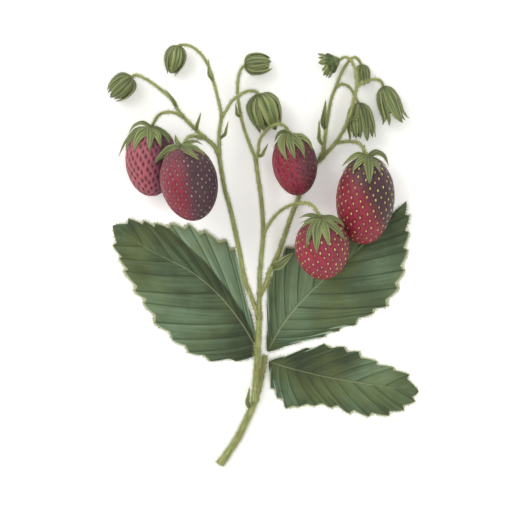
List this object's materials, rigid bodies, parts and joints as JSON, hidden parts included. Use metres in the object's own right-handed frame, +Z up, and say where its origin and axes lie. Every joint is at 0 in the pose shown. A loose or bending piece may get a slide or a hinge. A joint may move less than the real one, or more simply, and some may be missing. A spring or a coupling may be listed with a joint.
{
  "type": "picked strawberry sprig",
  "caption": "Picked strawberry sprig lying flat: a branching hairy stalk with ripe berries and nodding green buds over a toothed three-part leaf.",
  "frame": {"origin": "on the table, under the middle of the lying sprig", "axes": "+Z up off the table, +Y from the cut stalks towards the buds, +X to the sprig's right seen from above"},
  "size_m": [0.1566, 0.2124, 0.0483],
  "materials": {
    "stem_green": "fresh yellow-green stalk, softly hairy, satin",
    "leaf_green": "pleated dark green leaf blade with paler teal patches and a pale hairy margin, matte",
    "sepal_green": "mid-green pointed sepals and bracts with a paler midrib, matte",
    "bud_green": "closed green sepals with pale ribs and fine hairs, matte",
    "berry_red": "ripe strawberry skin, rose to crimson to maroon, pitted round yellow seeds, soft gloss"
  },
  "bodies": {
    "root": {"petiole": "stem_green", "leaflet_left": "leaf_green", "leaflet_end": "leaf_green", "leaflet_right": "leaf_green", "stipule": "sepal_green", "main_stalk": "stem_green", "middle_stem": "stem_green", "left_stem": "stem_green", "right_stem": "stem_green", "left_branch": "stem_green", "left_top": "stem_green", "bud_stem_a": "stem_green", "bud_stem_b": "stem_green", "bud_stem_c": "stem_green", "bud_stem_d": "stem_green", "right_branch_f": "stem_green", "right_branch_e": "stem_green", "bud_stem_g": "stem_green", "bud_stem_h": "stem_green", "pedicel_1": "stem_green", "pedicel_2": "stem_green", "pedicel_3": "stem_green", "pedicel_4": "stem_green", "pedicel_5": "stem_green", "berry_1": "berry_red", "berry_2": "berry_red", "berry_3": "berry_red", "berry_4": "berry_red", "berry_5": "berry_red", "calyx_1": "sepal_green", "calyx_2": "sepal_green", "calyx_3": "sepal_green", "calyx_4": "sepal_green", "calyx_5": "sepal_green", "bud_a": "bud_green", "bud_b": "bud_green", "bud_c": "bud_green", "bud_d": "bud_green", "bud_e": "bud_green", "bud_f": "bud_green", "bud_g": "bud_green", "bud_h": "bud_green", "bract_leafy": "sepal_green", "bract_1": "sepal_green", "bract_2": "sepal_green", "bract_3": "sepal_green", "bract_4": "sepal_green", "bract_5": "sepal_green", "bract_6": "sepal_green", "bract_7": "sepal_green", "bract_8": "sepal_green", "bract_9": "sepal_green"}
  },
  "joints": []
}
